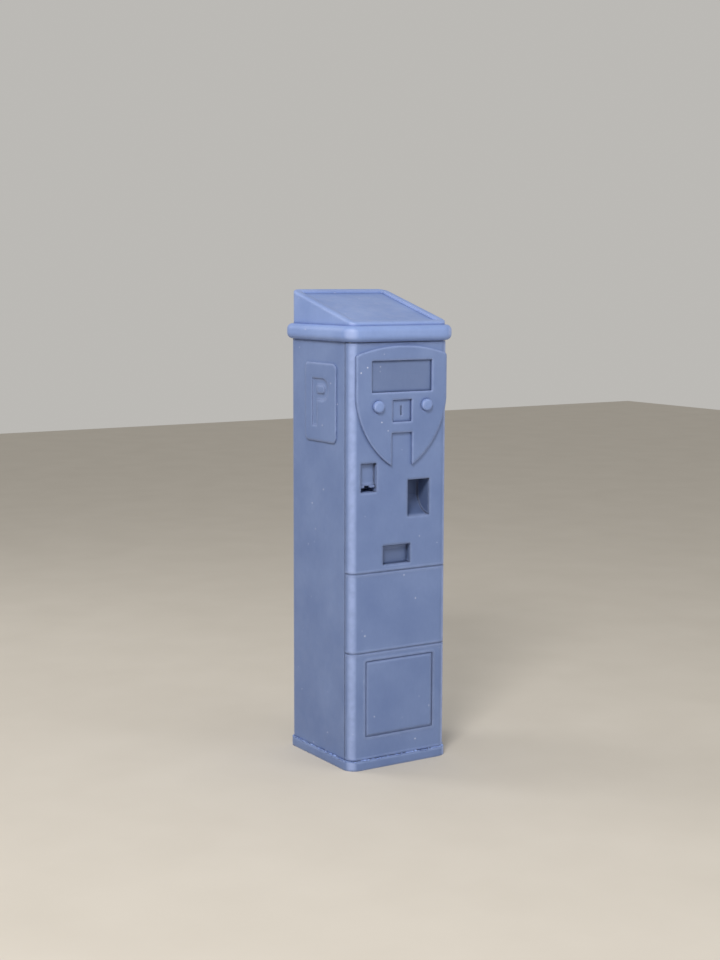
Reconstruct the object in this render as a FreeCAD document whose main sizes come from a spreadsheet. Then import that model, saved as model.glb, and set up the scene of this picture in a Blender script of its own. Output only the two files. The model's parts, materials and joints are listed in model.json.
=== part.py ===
"""A pay-and-display ticket machine: a steel cabinet with three hinged doors, a solar hood and the works inside.

Units are millimetres. +Z is up, the front faces -Y, and the origin is the centre of the base on the ground.
"""

import FreeCAD, Part
import math
import os
import re

import Sketcher
from FreeCAD import Placement, Rotation, Vector

sizes = {
    # cabinet
    "cabinet_width": 410, "cabinet_depth": 420, "cabinet_top": 1500, "corner_radius": 38, "wall": 2,
    "plinth_height": 34, "plinth_overhang": 6, "plinth_wall": 8, "plinth_floor": 8, "plinth_soft": 6,
    "anchor_spacing_x": 300, "anchor_spacing_y": 300, "anchor_radius": 9, "cable_radius": 45,
    # doors
    "skin": 2.5, "seam": 4, "seam_upper": 700, "seam_lower": 418, "shelf_plate": 2, "edge_soft": 1.5,
    "door_gap": 0.75, "wall_gap": 1.5, "pivot_inset": 12, "pin_radius": 4, "pin_clearance": 0.05,
    "pin_reach": 10,
    # collar and hood
    "collar_height": 54, "collar_overhang": 21, "collar_soft": 20, "hood_rise_back": 122, "hood_rise_front": 10,
    "hood_inset": 3, "hood_rim": 26, "hood_recess": 14, "hood_soft": 5, "hood_wall": 12, "panel_thick": 5,
    "panel_clearance": 1,
    # shield on the upper door, heights measured from the ground
    "shield_width": 372, "shield_apex": 1487, "shield_shoulder": 1457, "shield_waist": 1300,
    "shield_tip": 1072, "shield_plate": 9, "shoulder_round": 14, "channel_width": 86, "channel_top": 1186,
    "display_width": 250, "display_height": 109, "display_middle": 1382, "glass_proud": 1, "module_depth": 16,
    "coin_plate_width": 80, "coin_plate_height": 77, "coin_plate_middle": 1262,
    "coin_slot_width": 4, "coin_slot_height": 34,
    "button_spread": 100, "button_height": 1279, "button_radius": 21, "button_proud": 12,
    "button_clearance": 0.5, "button_travel": 4, "stem_radius": 7, "switch_radius": 14, "switch_depth": 22,
    # pockets in the upper door
    "card_across": -132, "card_middle": 1034, "card_width": 64, "card_height": 100, "card_depth": 13,
    "card_throat": 24, "card_throat_depth": 70, "pocket_wall": 2,
    "ticket_across": 76, "ticket_middle": 953, "ticket_width": 92, "ticket_height": 129, "ticket_depth": 74,
    "ticket_floor_rise": 62, "ticket_inlet_depth": 14, "ticket_inlet_width": 68,
    "return_across": -15, "return_middle": 758, "return_width": 114, "return_height": 68, "return_depth": 80,
    "flap_inset": 20, "flap_plate": 3, "flap_clearance": 1.2, "flap_pin_radius": 2,
    # signs on the sides
    "sign_width": 210, "sign_height": 277, "sign_middle": 1286, "sign_plate": 5, "sign_corner": 22,
    "sign_forward": 14, "sign_soft": 2, "letter_width": 108, "letter_height": 166, "letter_stroke": 32,
    "letter_depth": 2.5,
    # lower door
    "panel_width": 276, "panel_height": 264, "panel_middle": 252, "groove": 5, "groove_depth": 3.5,
    # locks
    "lock_back": 26, "lock_radius": 12, "lock_flange": 17, "lock_flange_plate": 3, "lock_length": 24,
    "plug_radius": 8, "cam_length": 34, "cam_width": 12, "cam_plate": 3, "cam_gap": 0.6,
    "keeper_height": 24, "keeper_plate": 3, "keeper_foot": 24,
    # works inside
    "shelf_height": 1050, "printer_across": 92, "printer_width": 84, "printer_plate": 3,
    "platen_radius": 10, "roll_radius": 62, "roll_width": 58, "core_radius": 12, "spindle_radius": 6,
    "shaft_radius": 4, "paper_gap": 8,
    "control_width": 170, "control_depth": 150, "control_height": 190,
    "coin_box_width": 280, "coin_box_depth": 270, "coin_box_height": 190, "coin_box_wall": 2,
    "battery_width": 181, "battery_depth": 167, "battery_height": 170,
    "chute_width": 60, "chute_depth": 40, "chute_wall": 2, "hopper_depth": 94, "hopper_height": 30,
    "vent_width": 180, "vent_height": 110, "vent_middle": 1380, "vent_plate": 3, "vent_slot": 9, "vent_pitch": 12,
    "validator_width": 110, "validator_height": 170, "validator_depth": 130,
}

doc = FreeCAD.newDocument("TicketMachine")
sheet = doc.addObject("Spreadsheet::Sheet", "sizes")
for row, (alias, number) in enumerate(sizes.items(), start=1):
    sheet.set("A%d" % row, alias)
    sheet.set("B%d" % row, str(number))
    sheet.setAlias("B%d" % row, alias)
doc.recompute()
probe = doc.addObject("Part::Vertex", "Probe")
parts = {}


def refer(text):
    """The expression with each size's name pointing into the sheet."""
    def point(word):
        return "sizes." + word.group(0) if word.group(0) in sizes else word.group(0)
    return re.sub(r"[a-z][a-z_]*", point, str(text))


def number(text):
    """What an expression in the sheet's names comes to."""
    probe.setExpression("X", refer(text))
    probe.recompute()
    return probe.X.Value


def bind(thing, **properties):
    for name, text in properties.items():
        thing.setExpression(name.replace("__", "."), refer(text))


def place(thing, x=0, y=0, z=0):
    for axis, text in zip("xyz", (x, y, z)):
        thing.setExpression("Placement.Base." + axis, refer(text))
    return thing


def box(name, length, width, height, x, y, z):
    """A box from its low corner."""
    made = doc.addObject("Part::Box", name)
    bind(made, Length=length, Width=width, Height=height)
    return place(made, x, y, z)


def block(name, length, width, height, x, y, z):
    """A box centred on x, from y backwards and from z upwards."""
    return box(name, length, width, height, "(%s) - (%s) / 2" % (x, length), y, z)


turns = {"Z": Rotation(), "X": Rotation(Vector(0, 1, 0), 90), "Y": Rotation(Vector(1, 0, 0), -90)}


def rod(name, radius, height, x, y, z, along="Z"):
    """A cylinder from its near end, along +X, +Y or +Z."""
    made = doc.addObject("Part::Cylinder", name)
    bind(made, Radius=radius, Height=height)
    made.Placement = Placement(Vector(), turns[along])
    return place(made, x, y, z)


def join(name, *things):
    made = doc.addObject("Part::MultiFuse", name)
    made.Shapes = list(things)
    return made


def cut(name, base, *tools):
    made = doc.addObject("Part::Cut", name)
    made.Base = base
    made.Tool = tools[0] if len(tools) == 1 else join(name + "Tools", *tools)
    return made


def shared(name, first, second):
    made = doc.addObject("Part::Common", name)
    made.Base, made.Tool = first, second
    return made


def soften(name, base, chosen, radius):
    """Rounds the chosen edges of a finished shape."""
    doc.recompute()
    made = doc.addObject("Part::Fillet", name)
    made.Base = base
    size = number(radius)
    made.Edges = [(i, size, size) for i, e in enumerate(base.Shape.Edges, start=1) if chosen(e)]
    return made


def keep(label, thing):
    """Names a finished sub-part. Its label is its file's name."""
    thing.Label = label
    parts[label] = thing
    return thing


def new_sketch(body, plane):
    sketch = body.newObject("Sketcher::SketchObject", body.Name + "Sketch")
    role = [f for f in body.Origin.OriginFeatures if f.Role == plane][0]
    sketch.AttachmentSupport = [(role, "")]
    sketch.MapMode = "FlatFace"
    return sketch


def rounded_slab(name, plane, width, height, radius, depth, x=0, y=0, z=0, soft=None, both=False):
    """A rounded rectangle on an origin plane, padded by depth: up from XY, forwards from XZ, to +X from YZ.

    soft rounds the edges of the far face, and both rounds the near face too.
    """
    body = doc.addObject("PartDesign::Body", name)
    sketch = new_sketch(body, plane)
    w, h, r = number(width) / 2, number(height) / 2, number(radius)
    corners = [(w - r, -h + r, -90), (w - r, h - r, 0), (-w + r, h - r, 90), (-w + r, -h + r, 180)]
    ends = [((-w + r, -h), (w - r, -h)), ((w, -h + r), (w, h - r)), ((w - r, h), (-w + r, h)),
            ((-w, h - r), (-w, -h + r))]
    for (start, end), (cx, cy, angle) in zip(ends, corners):
        sketch.addGeometry(Part.LineSegment(Vector(*start, 0), Vector(*end, 0)))
        circle = Part.Circle(Vector(cx, cy, 0), Vector(0, 0, 1), r)
        sketch.addGeometry(Part.ArcOfCircle(circle, math.radians(angle), math.radians(angle + 90)))
    for i in range(8):
        after = (i + 1) % 8
        sketch.addConstraint(Sketcher.Constraint("Tangent", i, 2, after, 1))
    for line, way in ((0, "Horizontal"), (4, "Horizontal"), (2, "Vertical"), (6, "Vertical")):
        sketch.addConstraint(Sketcher.Constraint(way, line))
    for arc in (3, 5, 7):
        sketch.addConstraint(Sketcher.Constraint("Equal", 1, arc))
    limits = [("corner", ("Radius", 1, r), radius),
              ("right", ("DistanceX", -1, 1, 2, 1, w), "(%s) / 2" % width),
              ("left", ("DistanceX", 6, 1, -1, 1, w), "(%s) / 2" % width),
              ("top", ("DistanceY", -1, 1, 4, 1, h), "(%s) / 2" % height),
              ("bottom", ("DistanceY", 0, 1, -1, 1, h), "(%s) / 2" % height)]
    for title, rule, text in limits:
        index = sketch.addConstraint(Sketcher.Constraint(*rule))
        sketch.renameConstraint(index, title)
        sketch.setExpression("Constraints." + title, refer(text))
    pad_body(body, sketch, depth, soft, both)
    return place(body, x, y, z)


def outline_slab(name, plane, edges, depth, x=0, y=0, z=0, soft=None, both=False):
    """A closed outline of sketch edges, padded by depth."""
    body = doc.addObject("PartDesign::Body", name)
    sketch = new_sketch(body, plane)
    for edge in edges:
        sketch.addGeometry(edge)
    pad_body(body, sketch, depth, soft, both)
    return place(body, x, y, z)


def pad_body(body, sketch, depth, soft, both):
    pad = body.newObject("PartDesign::Pad", body.Name + "Pad")
    pad.Profile = sketch
    pad.setExpression("Length", refer(depth))
    sketch.Visibility = False
    doc.recompute()
    if soft is None:
        return
    normal = sketch.Placement.Rotation.multVec(Vector(0, 0, 1))
    reach = [f.CenterOfMass.dot(normal) for f in pad.Shape.Faces]
    faces = ["Face%d" % (reach.index(max(reach)) + 1)]
    if both:
        faces.append("Face%d" % (reach.index(min(reach)) + 1))
    rounded = body.newObject("PartDesign::Fillet", body.Name + "Fillet")
    rounded.Base = (pad, faces)
    rounded.setExpression("Radius", refer(soft))
    body.Tip = rounded
    doc.recompute()


def polygon(points):
    """Straight sketch edges through the points and back to the first."""
    ring = list(points) + [points[0]]
    return [Part.LineSegment(Vector(*a, 0), Vector(*b, 0)) for a, b in zip(ring, ring[1:])]


# Places that several pieces share
front = "(-cabinet_depth / 2)"
right = "(cabinet_width / 2)"
left = "(-cabinet_width / 2)"
seam_plane = "(-cabinet_depth / 2 + corner_radius)"
door_back = "(%s - door_gap)" % seam_plane
wall_front = "(%s + wall_gap)" % seam_plane
pivot_x = "(%s + pivot_inset)" % left
pivot_y = "(%s - pivot_inset + door_gap)" % door_back
inner_back = "(cabinet_depth / 2 - wall)"
shield_face = "(%s - shield_plate)" % front
clear = 1.0  # how far cutting tools run past a face


# Plinth, bolted to the pavement

def make_plinth():
    over = "2 * plinth_overhang"
    hull = rounded_slab("PlinthHull", "XY_Plane", "cabinet_width + " + over, "cabinet_depth + " + over,
                        "corner_radius + plinth_overhang", "plinth_height", soft="plinth_soft")
    inside = "2 * plinth_wall"
    hollow = rounded_slab("PlinthHollow", "XY_Plane", "cabinet_width - " + inside, "cabinet_depth - " + inside,
                          "corner_radius - plinth_wall", "plinth_height", z="plinth_floor")
    holes = [rod("PlinthAnchor", "anchor_radius", "plinth_height", "%d * anchor_spacing_x / 2" % i,
                 "%d * anchor_spacing_y / 2" % j, "-%g" % clear) for i in (-1, 1) for j in (-1, 1)]
    duct = rod("PlinthDuct", "cable_radius", "plinth_height", 0, 0, "-%g" % clear)
    pin_land = rod("PlinthPinLand", "2 * pin_radius", "plinth_height - plinth_floor / 2", pivot_x, pivot_y,
                   "plinth_floor / 2")
    body = cut("PlinthBody", hull, hollow, duct, *holes)
    seat = rod("PlinthPinSeat", "pin_radius", "plinth_height", pivot_x, pivot_y, "plinth_floor")
    keep("plinth", cut("Plinth", join("PlinthWhole", body, pin_land), seat))


# Cabinet shell: both sides and the back in one folded sheet

def make_shell():
    tall = "cabinet_top - plinth_height"
    hull = rounded_slab("ShellHull", "XY_Plane", "cabinet_width", "cabinet_depth", "corner_radius", tall,
                        z="plinth_height")
    hollow = rounded_slab("ShellHollow", "XY_Plane", "cabinet_width - 2 * wall", "cabinet_depth - 2 * wall",
                          "corner_radius - wall", tall + " + 2", z="plinth_height - 1")
    mouth = box("ShellMouth", "cabinet_width + 2", "corner_radius + wall_gap + 1", tall + " + 2",
                left + " - 1", front + " - 1", "plinth_height - 1")
    locks = [rod("ShellLockHole", "lock_radius", "4 * wall", right + " - 2 * wall", lock_y, height, "X")
             for height in lock_heights.values()]
    keep("cabinet_shell", cut("Shell", hull, hollow, mouth, *locks, *vent_slots("ShellVent")))


def vent_slots(name):
    """Cutters for the vent's row of slots, long enough for the wall and its plate together."""
    return [block(name, "0.72 * vent_width", "wall + vent_plate + 2", "vent_slot", 0, inner_back + " - 1",
                  "vent_middle + %d * vent_pitch - vent_slot / 2" % i) for i in range(-3, 4)]


lock_y = "(%s + lock_back)" % wall_front
lock_heights = {"upper": "((seam_upper + cabinet_top) / 2)", "vault": "((seam_upper + seam_lower) / 2)",
                "lower": "((seam_lower + plinth_height) / 2)"}


def make_shelf(label, height, notch=False):
    """A plate across the cabinet at a seam. It reaches forward between the doors and holds their pivot pin."""
    plate = rounded_slab("Shelf" + label, "XY_Plane", "cabinet_width - 2 * wall", "cabinet_depth - 2 * wall",
                         "corner_radius - wall", "shelf_plate", z=height)
    tools = [rod("ShelfSeat" + label, "pin_radius", "4 * shelf_plate", pivot_x, pivot_y,
                 height + " - shelf_plate")]
    if notch:
        tools.append(block("ShelfNotch" + label, "chute_width + 2", "chute_depth + 2", "4 * shelf_plate", 0,
                           chute_front + " - 1", height + " - shelf_plate"))
    keep(label, cut("ShelfDone" + label, plate, *tools))


def make_pins():
    """Four pivot pins in line: one at the plinth, one at each shelf and one under the collar."""
    reach = "pin_reach"
    spans = [("plinth_floor", "plinth_height - plinth_floor + seam / 2 + " + reach),
             ("seam_lower - seam / 2 - " + reach, "seam + 2 * " + reach),
             ("seam_upper - seam / 2 - " + reach, "seam + 2 * " + reach),
             ("cabinet_top - seam / 2 - " + reach, "seam / 2 + shelf_plate + " + reach)]
    pins = [rod("PivotPin", "pin_radius", tall, pivot_x, pivot_y, low) for low, tall in spans]
    group = doc.addObject("Part::Compound", "PivotPins")
    group.Links = pins
    keep("pivot_pins", group)


# Collar and hood

def make_collar():
    over = "2 * collar_overhang"
    hull = rounded_slab("CollarHull", "XY_Plane", "cabinet_width + " + over, "cabinet_depth + " + over,
                        "corner_radius + collar_overhang", "collar_height", z="cabinet_top + shelf_plate",
                        soft="collar_soft", both=True)
    hollow = rounded_slab("CollarHollow", "XY_Plane", "cabinet_width - 60", "cabinet_depth - 60",
                          "corner_radius - 20", "collar_height + 2", z="cabinet_top + shelf_plate - 1")
    keep("top_collar", cut("Collar", hull, hollow))
    lid = rounded_slab("TopPlateSlab", "XY_Plane", "cabinet_width", "cabinet_depth", "corner_radius",
                       "shelf_plate", z="cabinet_top")
    seat = rod("TopPlateSeat", "pin_radius", "4 * shelf_plate", pivot_x, pivot_y, "cabinet_top - shelf_plate")
    keep("top_plate", cut("TopPlate", lid, seat))


hood_base = "(cabinet_top + shelf_plate + collar_height)"


def make_hood():
    w = "cabinet_width - 2 * hood_inset"
    d = "cabinet_depth - 2 * hood_inset"
    base, half = number(hood_base), number("(%s) / 2" % d)
    back, fore = number("hood_rise_back"), number("hood_rise_front")
    tall = rounded_slab("HoodTall", "XY_Plane", w, d, "corner_radius - hood_inset", "hood_rise_back + 1",
                        z=hood_base)
    slope = math.atan2(back - fore, 2 * half)

    def height_at(y):
        return fore + (y + half) * math.tan(slope)
    ramp = outline_slab("HoodRamp", "YZ_Plane",
                        polygon([(-half - 1, 0), (half + 1, 0), (half + 1, height_at(half + 1)),
                                 (-half - 1, height_at(-half - 1))]),
                        "cabinet_width + 2", x=left + " - 1", z=hood_base)
    solid = soften("HoodSoft", shared("HoodSolid", tall, ramp),
                   lambda e: all(abs(base + height_at(v.Y) - v.Z) < 0.1 for v in e.Vertexes), "hood_soft")
    # The recess that the solar panel lies in, square to the slope
    rim, deep = number("hood_rim"), number("hood_recess")
    run = 2 * half / math.cos(slope)
    tilt = Rotation(Vector(1, 0, 0), math.degrees(slope))
    length, width = number(w) - 2 * rim, run - 2 * rim

    def on_slope(label, across, along, thick, sunk, corner):
        """A rounded slab square to the slope, its top sunk below the hood's sloping face."""
        made = rounded_slab(label, "XY_Plane", across, along, corner, thick)
        middle = Vector(0, 0, base + (back + fore) / 2)
        made.setExpression("Placement.Base.x", None)
        made.setExpression("Placement.Base.y", None)
        made.setExpression("Placement.Base.z", None)
        made.Placement = Placement(middle + tilt.multVec(Vector(0, 0, -sunk - number(thick))), tilt)
        return made

    recess = on_slope("HoodRecess", "%g" % length, "%g" % width, "3 * hood_recess", -2 * deep, "6")
    inner = number("hood_wall")
    hollow = outline_slab("HoodHollow", "YZ_Plane",
                          polygon([(-half + 150, 0), (half - inner, 0), (half - inner, back - inner - deep - 8),
                                   (-half + 150, number("hood_rise_front") + 1)]),
                          "%s - 2 * hood_wall - 40" % w, x=left + " + hood_inset + hood_wall + 20", z=hood_base + " - 0.001")
    keep("solar_hood", cut("Hood", solid, recess, hollow))
    lap = number("panel_clearance")
    keep("solar_panel", on_slope("SolarPanel", "%g" % (length - 2 * lap), "%g" % (width - 2 * lap), "panel_thick",
                                 deep - number("panel_thick"), "5"))


# Side signs, each a rounded plate with a plain block letter cut into it

def letter_edges(size_x, size_y, stroke, mirror):
    """A plain block P centred on the origin, as an outer outline and its counter."""
    w, h = size_x / 2, size_y / 2
    bowl = size_x - stroke  # outer height of the bowl
    r = bowl / 2
    s = -1 if mirror else 1

    def line(a, b):
        return Part.LineSegment(Vector(s * a[0], a[1], 0), Vector(s * b[0], b[1], 0))

    def arc(a, m, b):
        return Part.Arc(Vector(s * a[0], a[1], 0), Vector(s * m[0], m[1], 0), Vector(s * b[0], b[1], 0))
    bottom = h - 2 * r
    outer = [line((-w, -h), (-w + stroke, -h)), line((-w + stroke, -h), (-w + stroke, bottom)),
             line((-w + stroke, bottom), (w - r, bottom)), arc((w - r, bottom), (w, h - r), (w - r, h)),
             line((w - r, h), (-w, h)), line((-w, h), (-w, -h))]
    low, high, q = bottom + stroke * 0.75, h - stroke * 0.75, r - stroke * 0.75
    counter = [line((-w + stroke, low), (w - r, low)), arc((w - r, low), (w - r + q, h - r), (w - r, high)),
               line((w - r, high), (-w + stroke, high)), line((-w + stroke, high), (-w + stroke, low))]
    return outer + counter


def make_sign(label, side):
    """side is -1 for the left wall and +1 for the right wall."""
    face = left + " - sign_plate" if side < 0 else right
    slab = rounded_slab("SignSlab" + label, "YZ_Plane", "sign_width", "sign_height", "sign_corner", "sign_plate",
                        x=face, y="-sign_forward", z="sign_middle", both=True, soft="sign_soft / 2")
    letter = outline_slab("SignLetter" + label, "YZ_Plane",
                          letter_edges(number("letter_width"), number("letter_height"), number("letter_stroke"),
                                       side < 0),
                          "letter_depth + 1",
                          x=left + " - sign_plate - 1" if side < 0 else right + " + sign_plate - letter_depth",
                          y="-sign_forward", z="sign_middle")
    keep(label, cut("Sign" + label, slab, letter))


# Doors. Each is a folded pan that wraps the front corners and hangs on hidden pins at its left edge.

def door_pan(name, low, high):
    tall = "(%s) - (%s)" % (high, low)
    hull = rounded_slab(name + "Hull", "XY_Plane", "cabinet_width", "cabinet_depth", "corner_radius", tall,
                        z=low, soft="edge_soft", both=True)
    hollow = rounded_slab(name + "Hollow", "XY_Plane", "cabinet_width - 2 * skin", "cabinet_depth - 2 * skin",
                          "corner_radius - skin", tall + " - 2 * skin", z=low + " + skin")
    room = box(name + "Room", "cabinet_width + 2", "corner_radius - door_gap + 1", tall + " + 2", left + " - 1",
               front + " - 1", low + " - 1")
    pin = rod(name + "PinHole", "pin_radius + pin_clearance", tall + " + 2", pivot_x, pivot_y, low + " - 1")
    return cut(name + "Pan", shared(name + "Front", hull, room), hollow, pin)


def through_front(name, width, height, across, middle):
    """A cutter through the door's front skin."""
    return block(name, width, "skin + 2", height, across, front + " - 1", "%s - %s / 2" % (middle, height))


def shield_outline():
    """A broad top arc, upright sides, and two lobes that curve in to a channel at the foot."""
    half, shoulder = number("shield_width") / 2, number("shield_shoulder")
    apex, waist, tip = number("shield_apex"), number("shield_waist"), number("shield_tip")
    gap, top = number("channel_width") / 2, number("channel_top")
    bulge_x, bulge_z = gap + 0.69 * (half - gap), tip + 0.43 * (waist - tip)

    def at(x, z, s):
        return Vector(s * x, z, 0)
    edges = [Part.Arc(at(half, shoulder, -1), Vector(0, apex, 0), at(half, shoulder, 1))]
    for s in (1, -1):
        edges.append(Part.LineSegment(at(half, shoulder, s), at(half, waist, s)))
        edges.append(Part.Arc(at(half, waist, s), at(bulge_x, bulge_z, s), at(gap, tip, s)))
        edges.append(Part.LineSegment(at(gap, tip, s), at(gap, top, s)))
    edges.append(Part.LineSegment(at(gap, top, -1), at(gap, top, 1)))
    return edges


def make_upper_door():
    low, high = "seam_upper + seam / 2", "cabinet_top - seam / 2"
    pan = door_pan("UpperDoor", low, high)
    holes = [through_front("DisplayHole", "display_width", "display_height", 0, "display_middle"),
             through_front("CoinHole", "coin_plate_width", "coin_plate_height", 0, "coin_plate_middle"),
             through_front("CardHole", "card_width", "card_height", "card_across", "card_middle"),
             through_front("TicketHole", "ticket_width", "ticket_height", "ticket_across", "ticket_middle"),
             through_front("ReturnHole", "return_width", "return_height", "return_across", "return_middle")]
    holes += [rod("ButtonHole", "button_radius + button_clearance", "skin + 2", "%d * button_spread" % s,
                  front + " - 1", "button_height", "Y") for s in (-1, 1)]
    keep("upper_door", cut("UpperDoorDone", pan, *holes))

    slab = outline_slab("ShieldSlab", "XZ_Plane", shield_outline(), "shield_plate + corner_radius / 4",
                        y=front + " + corner_radius / 4")
    shoulder = number("shield_shoulder")
    shield = soften("ShieldShoulders", slab,
                   lambda e: e.BoundBox.YLength > 1 and abs(e.CenterOfMass.z - shoulder) < 1, "shoulder_round")
    windows = [block("ShieldDisplay", "display_width", "shield_plate + 2", "display_height", 0,
                     shield_face + " - 1", "display_middle - display_height / 2"),
               block("ShieldCoin", "coin_plate_width", "shield_plate + 2", "coin_plate_height", 0,
                     shield_face + " - 1", "coin_plate_middle - coin_plate_height / 2")]
    windows += [rod("ShieldButton", "button_radius + button_clearance", "shield_plate + 2",
                    "%d * button_spread" % s, shield_face + " - 1", "button_height", "Y") for s in (-1, 1)]
    # Its back follows the cabinet round the corners
    seat = rounded_slab("ShieldSeat", "XY_Plane", "cabinet_width", "cabinet_depth", "corner_radius", "cabinet_top")
    keep("shield_bezel", cut("Shield", shield, seat, *windows))

    glass_front = front + " - glass_proud"
    keep("display_glass", block("DisplayGlass", "display_width - 0.4", "skin + glass_proud", "display_height - 0.4", 0,
                                glass_front, "display_middle - display_height / 2 + 0.2"))
    keep("display_module", block("DisplayModule", "display_width + 20", "module_depth", "display_height + 20", 0,
                                 front + " + skin", "display_middle - display_height / 2 - 10"))
    plate = block("CoinPlate", "coin_plate_width - 0.4", "skin + glass_proud", "coin_plate_height - 0.4", 0, glass_front,
                  "coin_plate_middle - coin_plate_height / 2 + 0.2")
    slot = block("CoinSlot", "coin_slot_width", "skin + glass_proud + 2", "coin_slot_height", 0, glass_front + " - 1",
                 "coin_plate_middle - coin_slot_height / 2")
    keep("coin_entry_plate", cut("CoinEntry", plate, slot))
    validator = block("Validator", "validator_width", "validator_depth", "validator_height", 0,
                      front + " + skin", "coin_plate_middle + coin_plate_height / 2 - validator_height")
    throat = block("ValidatorThroat", "coin_slot_width + 2", "validator_depth - 30", "coin_slot_height + 4", 0,
                   front + " + skin - 1", "coin_plate_middle - coin_slot_height / 2 - 2")
    keep("coin_validator", cut("CoinValidator", validator, throat))


def make_buttons():
    for label, s in (("left", -1), ("right", 1)):
        across = "%d * button_spread" % s
        cap = doc.addObject("Part::Cylinder", label + "Cap")
        bind(cap, Radius="button_radius", Height="button_proud + shield_plate")
        cap.Placement = Placement(Vector(), turns["Y"])
        place(cap, across, shield_face + " - button_proud", "button_height")
        face = number(shield_face + " - button_proud")
        dome = soften(label + "Dome", cap, lambda e, y=face: abs(e.BoundBox.YMax - y) < 0.1, "0.28 * button_radius")
        stem = rod(label + "Stem", "stem_radius", "switch_depth / 2 + skin", across, front, "button_height", "Y")
        keep(label + "_button", join(label + "Button", dome, stem))
    bodies = []
    for s in (-1, 1):
        across = "%d * button_spread" % s
        # The switch stands clear of the cap's back by more than its travel
        can = rod("SwitchCan", "switch_radius", "switch_depth", across, front + " + button_travel + 1",
                  "button_height", "Y")
        cup = rod("SwitchCup", "button_radius + 4", "button_travel + 4 - skin", across, front + " + skin",
                  "button_height", "Y")
        room = rod("SwitchRoom", "button_radius + button_clearance", "button_travel + 2 - skin", across,
                   front + " + skin - 1", "button_height", "Y")
        well = rod("SwitchWell", "stem_radius + 0.3", "switch_depth - 3", across, front + " + button_travel",
                   "button_height", "Y")
        bodies.append(cut("Switch", join("SwitchWhole", can, cup), room, well))
    group = doc.addObject("Part::Compound", "Switches")
    group.Links = bodies
    keep("button_switches", group)


def make_card_reader():
    """A shallow recess with the card's throat at its foot."""
    t = "pocket_wall"
    hull = block("CardHull", "card_width + 2 * " + t, "card_depth + " + t, "card_height + 2 * " + t,
                 "card_across", front + " + skin", "card_middle - card_height / 2 - " + t)
    hollow = block("CardHollow", "card_width", "card_depth + 1", "card_height", "card_across", front + " + skin - 1",
                   "card_middle - card_height / 2")
    deep = block("CardDeep", "card_width + 2 * " + t, "card_throat_depth", "card_throat + 2 * " + t, "card_across",
                 front + " + skin", "card_middle - card_height / 2 - " + t)
    throat = block("CardThroat", "card_width - 2", "card_throat_depth - 3", "card_throat - 3", "card_across",
                   front + " + skin - 1", "card_middle - card_height / 2")
    lips = [box("CardLip", "card_width / 3", "8", "card_throat / 4 + 1", "card_across + %g * card_width - %s" % (k, o),
                front + " + skin + card_depth - 6", "card_middle - card_height / 2 + card_throat - 3 - card_throat / 4")
            for k, o in ((-0.5, "1"), (0.5, "card_width / 3 - 1"))]
    keep("card_reader", join("CardReader", cut("CardBody", join("CardWhole", hull, deep), hollow, throat), *lips))


def make_ticket_pocket():
    """A deep pocket with a floor that curves up to its back, open at the top to the printer's chute."""
    t = "pocket_wall"
    foot = "ticket_middle - ticket_height / 2"
    hull = block("TicketHull", "ticket_width + 2 * " + t, "ticket_depth + " + t, "ticket_height + 2 * " + t,
                 "ticket_across", front + " + skin", foot + " - " + t)
    deep, tall, rise = number("ticket_depth"), number("ticket_height"), number("ticket_floor_rise")
    y0 = number(front + " + skin") - 1
    z0 = number(foot)
    corners = [Vector(y0, z0, 0), Vector(y0, z0 + tall, 0), Vector(y0 + deep, z0 + tall, 0),
               Vector(y0 + deep, z0 + rise, 0)]
    edges = [Part.LineSegment(a, b) for a, b in zip(corners, corners[1:])]
    sag = Vector(y0 + 0.62 * deep, z0 + 0.24 * rise, 0)
    edges.append(Part.Arc(corners[3], sag, corners[0]))
    hollow = outline_slab("TicketHollow", "YZ_Plane", edges, "ticket_width",
                          x="ticket_across - ticket_width / 2")
    inlet = block("TicketInlet", "ticket_inlet_width", "ticket_inlet_depth", "4 * " + t, "ticket_across",
                  front + " + skin + ticket_depth - ticket_inlet_depth - 4",
                  "ticket_middle + ticket_height / 2 - " + t)
    keep("ticket_pocket", cut("TicketPocket", hull, hollow, inlet))
    chute_low = "ticket_middle + ticket_height / 2 + " + t
    chute_hull = block("SlideHull", "ticket_inlet_width + 2 * " + t, "ticket_inlet_depth + 2 * " + t, "60",
                       "ticket_across", front + " + skin + ticket_depth - ticket_inlet_depth - 4 - " + t, chute_low)
    chute_bore = block("SlideBore", "ticket_inlet_width", "ticket_inlet_depth", "70", "ticket_across",
                       front + " + skin + ticket_depth - ticket_inlet_depth - 4", chute_low + " - 5")
    keep("ticket_slide", cut("TicketSlide", chute_hull, chute_bore))


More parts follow.
